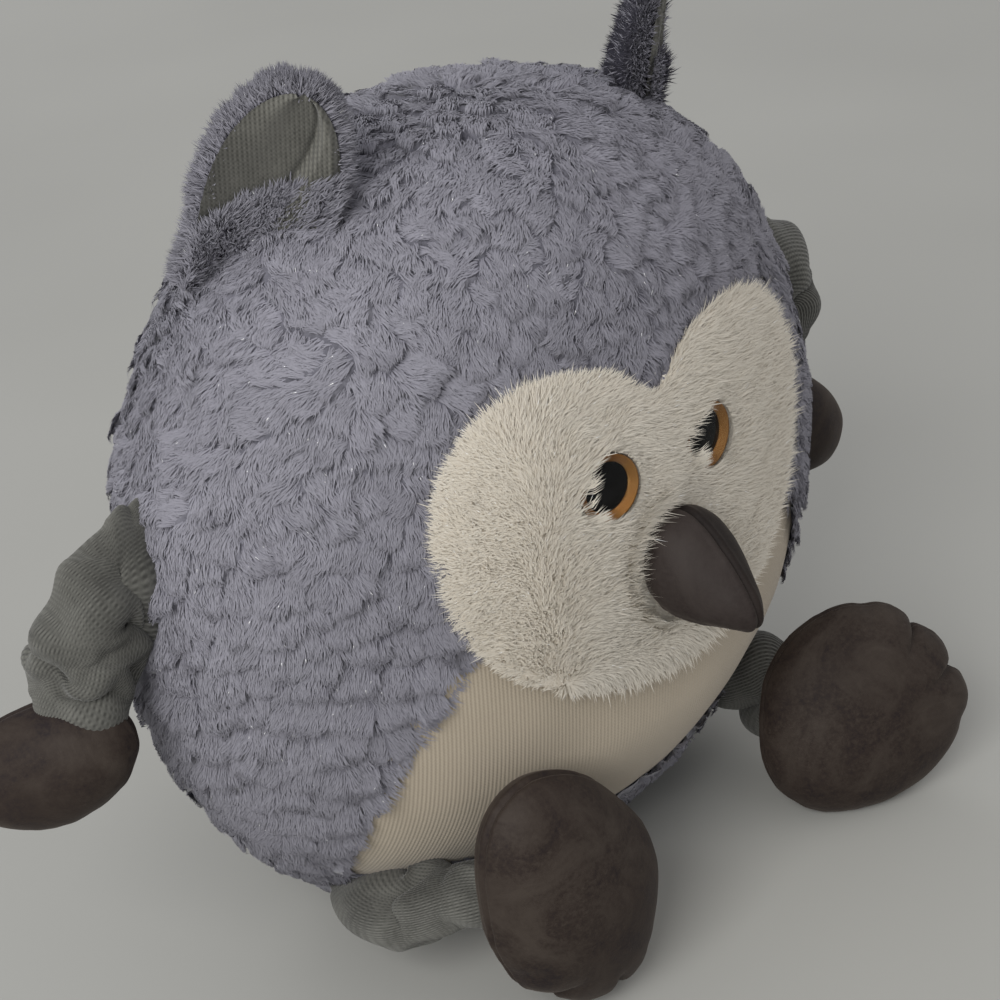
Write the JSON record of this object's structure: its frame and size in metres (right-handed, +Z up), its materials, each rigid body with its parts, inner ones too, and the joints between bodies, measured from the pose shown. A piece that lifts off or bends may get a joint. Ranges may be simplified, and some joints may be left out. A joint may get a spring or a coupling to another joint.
{
  "type": "plush owl",
  "caption": "Round stuffed toy owl with furry covers, knitted belly and ears, domed eyes, a padded beak, and limp knitted sleeves with stuffed hands and feet.",
  "frame": {"origin": "middle of the flat base that the owl stands on", "axes": "+Z up, the owl faces -Y, its own left is +X"},
  "size_m": [0.4351, 0.2224, 0.3401],
  "materials": {
    "lavender_fur": "matte",
    "white_fur": "matte",
    "cream_knit": "matte",
    "grey_knit": "matte",
    "taupe_velour": "matte",
    "stuffing": "matte",
    "clear_plastic": "gloss",
    "amber_glitter": "gloss",
    "black_plastic": "gloss",
    "washer_plastic": "satin"
  },
  "bodies": {
    "torso": {"torso_stuffing": "stuffing", "back_cover": "lavender_fur", "base_cover": "lavender_fur", "side_cover_right": "lavender_fur", "side_cover_left": "lavender_fur", "face_cover": "white_fur", "belly_cover": "cream_knit", "beak_stuffing": "stuffing", "beak_side_right": "taupe_velour", "beak_side_left": "taupe_velour", "beak_underside": "taupe_velour", "eye_lens_right": "clear_plastic", "eye_iris_right": "amber_glitter", "eye_pupil_right": "black_plastic", "eye_washer_right": "washer_plastic", "ear_back_right": "lavender_fur", "ear_lining_right": "grey_knit", "eye_lens_left": "clear_plastic", "eye_iris_left": "amber_glitter", "eye_pupil_left": "black_plastic", "eye_washer_left": "washer_plastic", "ear_back_left": "lavender_fur", "ear_lining_left": "grey_knit"},
    "arm_right": {"arm_sleeve_right": "grey_knit"},
    "hand_right": {"hand_stuffing_right": "stuffing", "hand_front_right": "taupe_velour", "hand_back_right": "taupe_velour"},
    "leg_right": {"leg_sleeve_right": "grey_knit"},
    "foot_right": {"foot_stuffing_right": "stuffing", "foot_sole_right": "taupe_velour", "foot_upper_right": "taupe_velour"},
    "arm_left": {"arm_sleeve_left": "grey_knit"},
    "hand_left": {"hand_stuffing_left": "stuffing", "hand_front_left": "taupe_velour", "hand_back_left": "taupe_velour"},
    "leg_left": {"leg_sleeve_left": "grey_knit"},
    "foot_left": {"foot_stuffing_left": "stuffing", "foot_sole_left": "taupe_velour", "foot_upper_left": "taupe_velour"}
  },
  "joints": [
    {"name": "shoulder_right", "type": "hinge", "parent": "torso", "child": "arm_right", "pos_m": [-0.16329, -0.00402, 0.18452], "axis": [-0.1615, -0.0143, -0.9868], "range_deg": [-20, 60]},
    {"name": "wrist_right", "type": "hinge", "parent": "arm_right", "child": "hand_right", "pos_m": [-0.18218, 0.00183, 0.16152], "axis": [0.2955, 0.9553, 0], "range_deg": [-15, 60]},
    {"name": "shoulder_left", "type": "hinge", "parent": "torso", "child": "arm_left", "pos_m": [0.16329, -0.00402, 0.18452], "axis": [-0.1615, 0.0143, 0.9868], "range_deg": [-10, 50]},
    {"name": "wrist_left", "type": "hinge", "parent": "arm_left", "child": "hand_left", "pos_m": [0.17728, 0.01012, 0.1386], "axis": [0.7108, -0.7034, 0], "range_deg": [-10, 60]},
    {"name": "hip_right", "type": "hinge", "parent": "torso", "child": "leg_right", "pos_m": [-0.10217, -0.04168, 0.03661], "axis": [-0.7495, 0.662, 0], "range_deg": [-40, 3]},
    {"name": "ankle_right", "type": "hinge", "parent": "leg_right", "child": "foot_right", "pos_m": [-0.07743, -0.06418, 0.04755], "axis": [1, 0, 0], "range_deg": [-3, 30]},
    {"name": "hip_left", "type": "hinge", "parent": "torso", "child": "leg_left", "pos_m": [0.10218, -0.0417, 0.03659], "axis": [-0.7495, -0.662, 0], "range_deg": [-40, 12]},
    {"name": "ankle_left", "type": "hinge", "parent": "leg_left", "child": "foot_left", "pos_m": [0.09755, -0.05821, 0.02279], "axis": [1, 0, 0], "range_deg": [-3, 40]}
  ]
}
